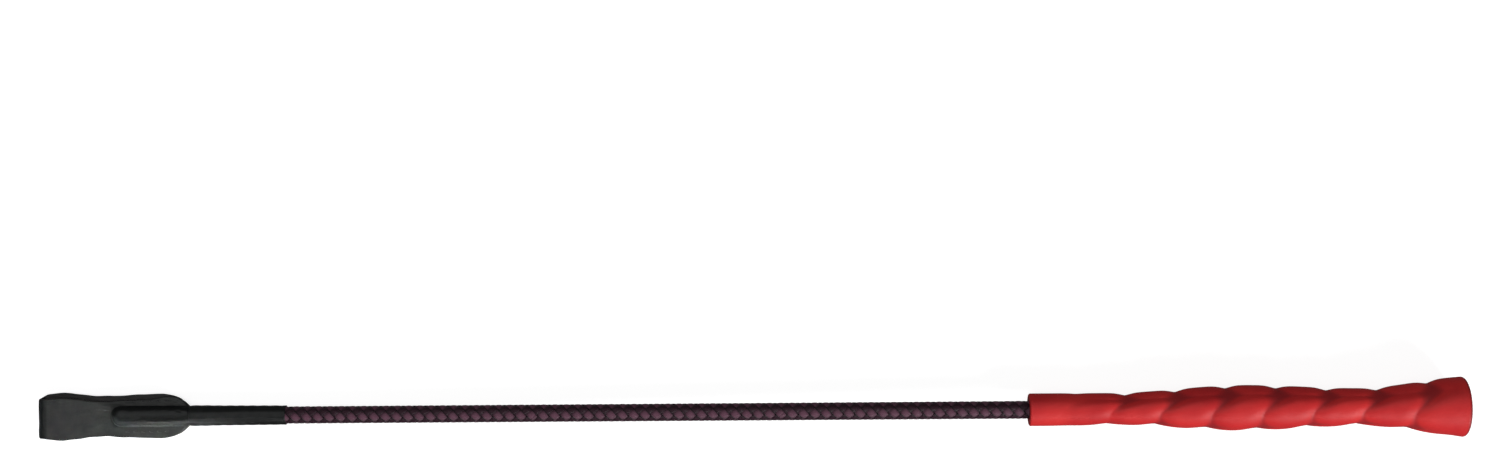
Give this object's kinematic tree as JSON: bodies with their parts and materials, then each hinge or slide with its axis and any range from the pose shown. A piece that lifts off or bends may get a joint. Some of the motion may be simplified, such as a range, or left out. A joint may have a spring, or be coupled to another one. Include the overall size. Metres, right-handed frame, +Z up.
{
  "type": "riding crop",
  "caption": "Riding crop with a waisted rubber grip with puffed domes, a flared butt set with a crystal, a slim braided shaft that flexes and a folded leather keeper.",
  "frame": {"origin": "middle of the bounding box, on the table that the crop lies on", "axes": "+X along the crop from keeper to butt, +Z up from the table; the rod rises by 0.86 degrees towards the butt, whose rim is wider than the keeper"},
  "size_m": [0.6502, 0.027, 0.027],
  "materials": {
    "fibreglass_rod": "satin",
    "yarn_padding": "matte",
    "thread_braid": "satin",
    "whipping_thread": "matte",
    "cap_plastic": "matte",
    "shrink_sleeve": "satin",
    "black_leather": "semi-gloss",
    "stitch_thread": "matte",
    "red_rubber": "satin",
    "former_plastic": "matte",
    "seat_plastic": "matte",
    "mirror_foil": "polished",
    "clear_glue": "gloss",
    "coated_crystal": "rainbow coating"
  },
  "bodies": {
    "handle": {"grip_sleeve": "red_rubber", "grip_core": "former_plastic", "core_rod_handle": "fibreglass_rod", "shaft_padding_handle": "yarn_padding", "braided_cover_handle": "thread_braid", "thread_whipping_rear": "whipping_thread", "stone_seat": "seat_plastic", "foil_cup": "mirror_foil", "glue_ring": "clear_glue", "crystal": "coated_crystal"},
    "shaft_rear": {"core_rod_rear": "fibreglass_rod", "shaft_padding_rear": "yarn_padding", "braided_cover_rear": "thread_braid"},
    "shaft_front": {"core_rod_front": "fibreglass_rod", "shaft_padding_front": "yarn_padding", "braided_cover_front": "thread_braid"},
    "shaft_tip": {"core_rod_tip": "fibreglass_rod", "shaft_padding_tip": "yarn_padding", "braided_cover_tip": "thread_braid", "thread_whipping_front": "whipping_thread", "rod_tip_cap": "cap_plastic", "tip_sleeve": "shrink_sleeve", "keeper_pocket": "black_leather", "keeper_stitching_left": "stitch_thread", "keeper_stitching_right": "stitch_thread"},
    "keeper": {"keeper_flap": "black_leather"}
  },
  "joints": [
    {"name": "shaft_flex_butt", "type": "hinge", "parent": "handle", "child": "shaft_rear", "pos_m": [0.07104, 0, 0.00973], "axis": [0, 1, 0], "range_deg": [-12, 12], "stiffness_Nm_per_rad": 9},
    {"name": "shaft_flex_middle", "type": "hinge", "parent": "shaft_rear", "child": "shaft_front", "pos_m": [-0.04188, 0, 0.00804], "axis": [0, 1, 0], "range_deg": [-12, 12], "stiffness_Nm_per_rad": 5.4},
    {"name": "shaft_flex_tip", "type": "hinge", "parent": "shaft_front", "child": "shaft_tip", "pos_m": [-0.15481, 0, 0.00635], "axis": [0, 1, 0], "range_deg": [-12, 12], "stiffness_Nm_per_rad": 3},
    {"name": "keeper_flex", "type": "hinge", "parent": "shaft_tip", "child": "keeper", "pos_m": [-0.29506, 0, 0.00425], "axis": [0, 1, 0], "range_deg": [-80, 80], "stiffness_Nm_per_rad": 0.03}
  ]
}
